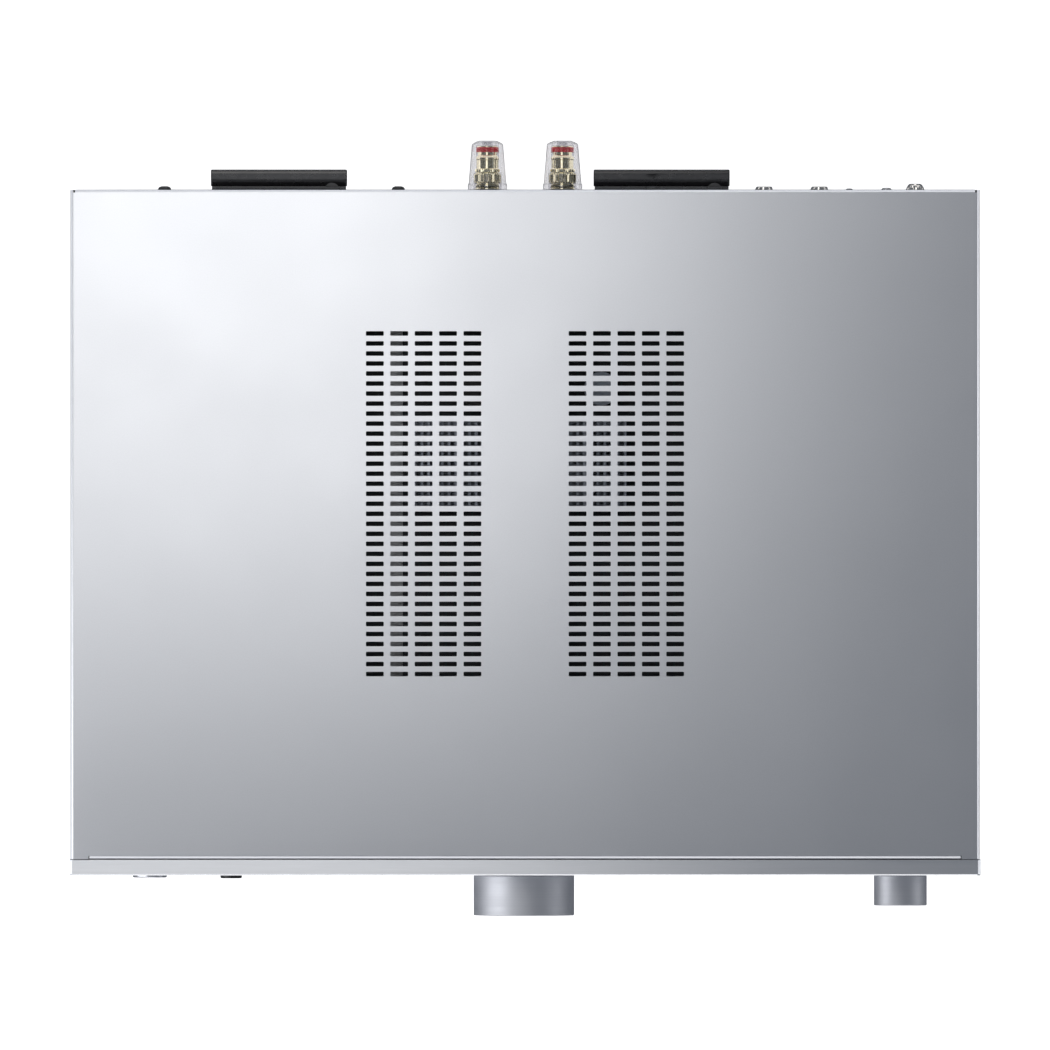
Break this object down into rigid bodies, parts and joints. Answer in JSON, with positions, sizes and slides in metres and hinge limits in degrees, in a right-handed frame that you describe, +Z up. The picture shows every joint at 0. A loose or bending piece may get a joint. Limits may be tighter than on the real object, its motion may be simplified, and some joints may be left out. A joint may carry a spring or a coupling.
{
  "type": "integrated amplifier",
  "caption": "Low full-width integrated stereo amplifier: slotted folded cover, thick front panel, volume and selector knobs, push button, screw terminals and swivelling antennas.",
  "frame": {"origin": "on the floor, at the middle of the outer box in X and Y", "axes": "+X to the right seen from the front, +Y to the back, +Z up; the front controls face -Y"},
  "size_m": [0.43, 0.3664, 0.102],
  "materials": {
    "anodised": "fine satin anodised",
    "cover_paint": "smooth satin silver",
    "rear_paint": "satin silver sheet",
    "steel": "plain zinc-plated steel",
    "rubber": "matte black",
    "black_screw": "black oxide",
    "nickel": "bright nickel plate",
    "socket_shell": "tinned shield",
    "black_plastic": "satin black moulding",
    "smoked_window": "smoked and glossy",
    "gold": "gold plate",
    "clear_plastic": "clear and glossy",
    "circuit_board": "green solder mask",
    "transformer_winding": "core with a copper winding",
    "aluminium": "extruded or drawn aluminium"
  },
  "bodies": {
    "chassis": {"front_panel": "anodised", "front_bulkhead": "steel", "base_pan": "steel", "top_cover": "cover_paint", "rear_panel": "rear_paint", "foot_front_left": "rubber", "foot_rear_left": "rubber", "foot_front_right": "rubber", "foot_rear_right": "rubber", "cover_screw_1": "black_screw", "cover_screw_2": "black_screw", "cover_screw_3": "black_screw", "cover_screw_4": "nickel", "volume_encoder": "steel", "selector_encoder": "steel", "headphone_jack": "black_plastic", "control_board": "circuit_board", "display_lens": "smoked_window", "display_module": "black_plastic", "terminal_plate": "black_plastic", "post_left_plus_stud": "gold", "post_left_minus_stud": "gold", "post_right_plus_stud": "gold", "post_right_minus_stud": "gold", "jack_bay": "black_plastic", "phono_pair_a": "nickel", "phono_pair_b": "nickel", "ac_inlet": "black_plastic", "network_jack": "socket_shell", "usb_jack": "socket_shell", "optical_jack": "black_plastic", "antenna_mount_left": "black_plastic", "antenna_mount_right": "black_plastic", "power_board": "circuit_board", "main_board": "circuit_board", "input_board": "circuit_board", "transformer": "transformer_winding", "heatsink": "aluminium", "capacitor_left": "aluminium", "capacitor_right": "aluminium"},
    "volume_control": {"volume_knob": "anodised", "volume_shaft": "steel"},
    "selector_control": {"selector_knob": "anodised", "selector_shaft": "steel"},
    "power_button": {"power_button": "anodised"},
    "antenna_left": {"antenna_left": "black_plastic"},
    "antenna_right": {"antenna_right": "black_plastic"},
    "ground_nut": {"ground_nut": "nickel"},
    "post_left_plus_washer": {"post_left_plus_washer": "gold"},
    "post_left_plus_cap": {"post_left_plus_nut": "gold", "post_left_plus_shell": "clear_plastic"},
    "post_left_minus_washer": {"post_left_minus_washer": "gold"},
    "post_left_minus_cap": {"post_left_minus_nut": "gold", "post_left_minus_shell": "clear_plastic"},
    "post_right_plus_washer": {"post_right_plus_washer": "gold"},
    "post_right_plus_cap": {"post_right_plus_nut": "gold", "post_right_plus_shell": "clear_plastic"},
    "post_right_minus_washer": {"post_right_minus_washer": "gold"},
    "post_right_minus_cap": {"post_right_minus_nut": "gold", "post_right_minus_shell": "clear_plastic"}
  },
  "joints": [
    {"name": "volume_turn", "type": "hinge", "parent": "chassis", "child": "volume_control", "pos_m": [-0.0005, -0.16385, 0.058], "axis": [0, 1, 0], "continuous": true},
    {"name": "selector_turn", "type": "hinge", "parent": "chassis", "child": "selector_control", "pos_m": [0.1777, -0.16385, 0.058], "axis": [0, 1, 0], "continuous": true},
    {"name": "power_press", "type": "slide", "parent": "chassis", "child": "power_button", "axis": [0, 1, 0], "range_m": [0, 0.002], "stiffness_N_per_m": 900, "springref_m": -0.0005},
    {"name": "antenna_left_swing", "type": "hinge", "parent": "chassis", "child": "antenna_left", "pos_m": [-0.0912, 0.15975, 0.078], "axis": [0, 1, 0], "range_deg": [0, 90]},
    {"name": "antenna_right_swing", "type": "hinge", "parent": "chassis", "child": "antenna_right", "pos_m": [0.0896, 0.15975, 0.078], "axis": [0, 1, 0], "range_deg": [0, 90]},
    {"name": "ground_nut_turn", "type": "hinge", "parent": "chassis", "child": "ground_nut", "pos_m": [0.1848, 0.15975, 0.052], "axis": [0, 1, 0], "range_deg": [0, 360]},
    {"name": "post_left_plus_rise", "type": "slide", "parent": "chassis", "child": "post_left_plus_washer", "axis": [0, 1, 0], "range_m": [0, 0.005]},
    {"name": "post_left_plus_turn", "type": "hinge", "parent": "post_left_plus_washer", "child": "post_left_plus_cap", "pos_m": [-0.01775, 0.15975, 0.074], "axis": [0, 1, 0], "range_deg": [0, 1800]},
    {"name": "post_left_minus_rise", "type": "slide", "parent": "chassis", "child": "post_left_minus_washer", "axis": [0, 1, 0], "range_m": [0, 0.005]},
    {"name": "post_left_minus_turn", "type": "hinge", "parent": "post_left_minus_washer", "child": "post_left_minus_cap", "pos_m": [-0.01775, 0.15975, 0.046], "axis": [0, 1, 0], "range_deg": [0, 1800]},
    {"name": "post_right_plus_rise", "type": "slide", "parent": "chassis", "child": "post_right_plus_washer", "axis": [0, 1, 0], "range_m": [0, 0.005]},
    {"name": "post_right_plus_turn", "type": "hinge", "parent": "post_right_plus_washer", "child": "post_right_plus_cap", "pos_m": [0.01775, 0.15975, 0.074], "axis": [0, 1, 0], "range_deg": [0, 1800]},
    {"name": "post_right_minus_rise", "type": "slide", "parent": "chassis", "child": "post_right_minus_washer", "axis": [0, 1, 0], "range_m": [0, 0.005]},
    {"name": "post_right_minus_turn", "type": "hinge", "parent": "post_right_minus_washer", "child": "post_right_minus_cap", "pos_m": [0.01775, 0.15975, 0.046], "axis": [0, 1, 0], "range_deg": [0, 1800]}
  ],
  "couplings": [
    {"joint": "post_left_plus_turn", "follows": "post_left_plus_rise", "rad_per_m": 6283.2},
    {"joint": "post_left_minus_turn", "follows": "post_left_minus_rise", "rad_per_m": 6283.2},
    {"joint": "post_right_plus_turn", "follows": "post_right_plus_rise", "rad_per_m": 6283.2},
    {"joint": "post_right_minus_turn", "follows": "post_right_minus_rise", "rad_per_m": 6283.2}
  ]
}
